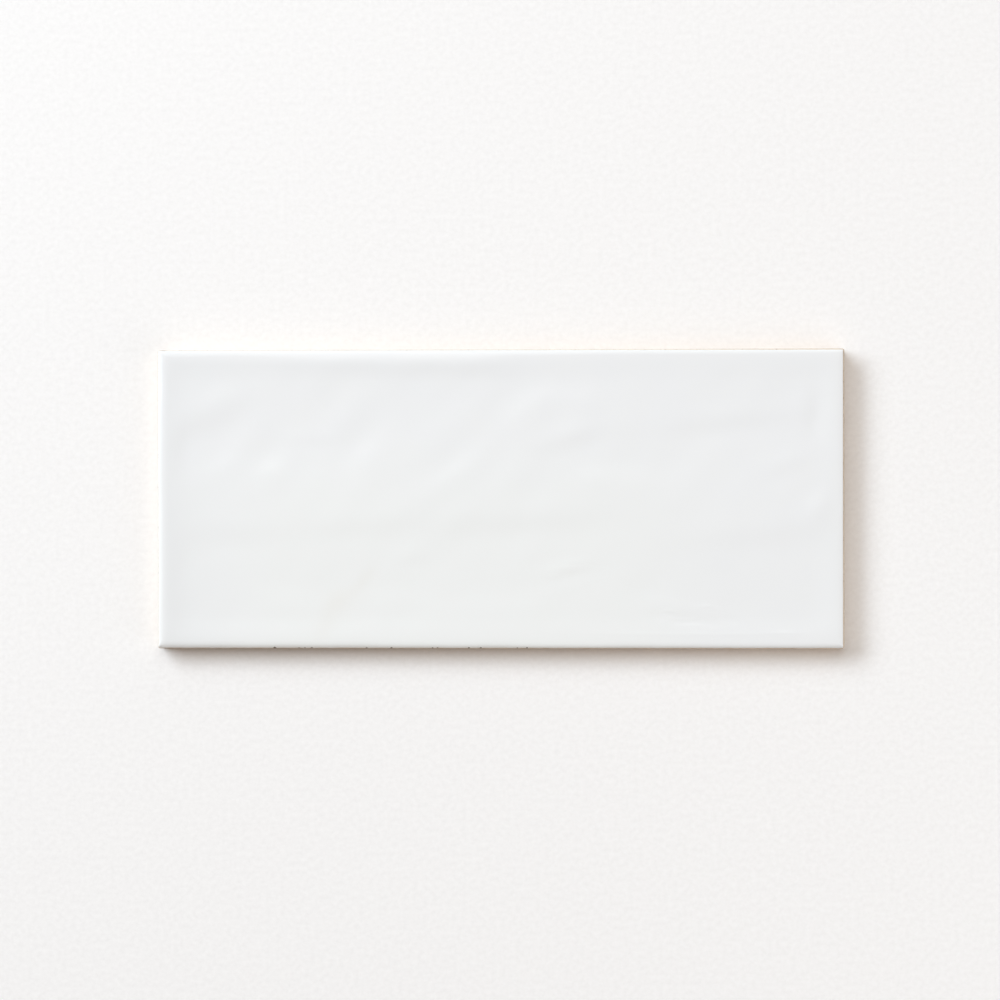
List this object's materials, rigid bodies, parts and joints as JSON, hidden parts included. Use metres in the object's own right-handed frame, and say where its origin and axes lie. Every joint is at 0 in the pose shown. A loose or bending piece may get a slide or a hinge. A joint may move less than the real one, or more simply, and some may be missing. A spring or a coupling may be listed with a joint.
{
  "type": "subway wall tile",
  "caption": "Oblong glazed wall tile with a gently rolling gloss white face, a rounded cushion edge, square sides and a ribbed back for adhesive.",
  "frame": {"origin": "middle of the back, on the plane that the adhesive bed meets", "axes": "+X along the tile's length, +Y across its width, +Z out of the glazed face"},
  "size_m": [0.248, 0.108, 0.0087],
  "materials": {
    "white_glaze": "clear gloss over a slightly uneven off-white glaze; the sides and back are bare buff fired clay"
  },
  "bodies": {
    "root": {"tile": "white_glaze"}
  },
  "joints": []
}
